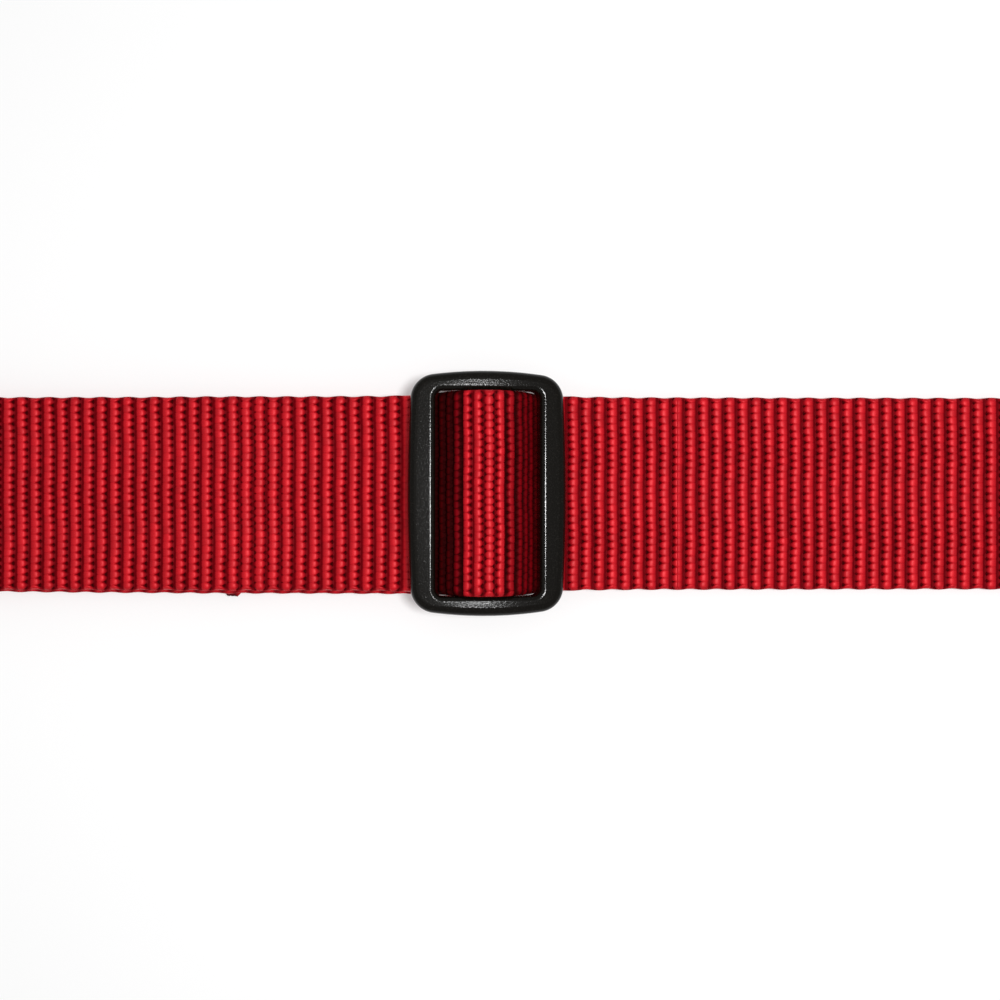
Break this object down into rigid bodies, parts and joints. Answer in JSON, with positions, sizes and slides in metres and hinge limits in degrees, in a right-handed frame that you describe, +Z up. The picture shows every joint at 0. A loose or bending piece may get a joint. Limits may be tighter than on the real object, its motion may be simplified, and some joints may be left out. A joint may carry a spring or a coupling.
{
  "type": "saxophone neck strap",
  "caption": "Neck strap of red ribbed webbing, doubled flat, with a black three-bar slider, a rectangular ring and a swivel snap hook.",
  "frame": {"origin": "middle of the strap's box, on the table it lies on", "axes": "+X along the strap from the hook to the neck turn, +Y across the webbing, +Z up"},
  "size_m": [0.4456, 0.0332, 0.0118],
  "materials": {
    "webbing": "ribbed satin weave",
    "thread": "twisted thread",
    "slider_plastic": "fine moulded grain, satin",
    "ring_metal": "nickel plated wire",
    "hook_metal": "nickel plated casting",
    "spring_steel": "bright spring wire"
  },
  "bodies": {
    "root": {"under_run": "webbing", "ring": "ring_metal", "ring_turn": "webbing", "ring_end_loop": "webbing", "ring_seam": "thread", "hook_turn": "webbing", "return_run": "webbing", "upper_run_left": "webbing", "upper_run_right": "webbing"},
    "slider": {"slider": "slider_plastic", "slider_pass": "webbing", "slider_end_loop": "webbing", "slider_seam": "thread"},
    "neck": {"neck_turn": "webbing"},
    "eye": {"hook_eye": "hook_metal"},
    "hook": {"hook_body": "hook_metal", "swivel_stem": "hook_metal", "swivel_washer": "hook_metal", "gate_pin": "hook_metal", "gate_spring": "spring_steel"},
    "gate": {"gate": "hook_metal"}
  },
  "joints": [
    {"name": "slider_travel", "type": "slide", "parent": "root", "child": "slider", "axis": [1, 0, 0], "range_m": [-0.015, 0.05], "deforming": ["return_run", "upper_run_left", "upper_run_right"]},
    {"name": "neck_shift", "type": "slide", "parent": "root", "child": "neck", "axis": [1, 0, 0], "range_m": [-0.025, 0.0075], "deforming": ["under_run"]},
    {"name": "eye_pivot", "type": "hinge", "parent": "root", "child": "eye", "pos_m": [-0.16708, 0, 0.00415], "axis": [0, 1, 0], "range_deg": [0, 110]},
    {"name": "hook_swivel", "type": "hinge", "parent": "eye", "child": "hook", "pos_m": [-0.18607, 0, 0.00415], "axis": [1, 0, 0], "continuous": true},
    {"name": "gate_pivot", "type": "hinge", "parent": "hook", "child": "gate", "pos_m": [-0.19657, 0.0072, 0.00415], "axis": [0, 0, 1], "range_deg": [0, 32], "stiffness_Nm_per_rad": 0.02, "springref_deg": -28.65, "deforming": ["gate_spring"]}
  ],
  "couplings": [
    {"joint": "neck_shift", "follows": "slider_travel", "ratio": -0.5}
  ]
}
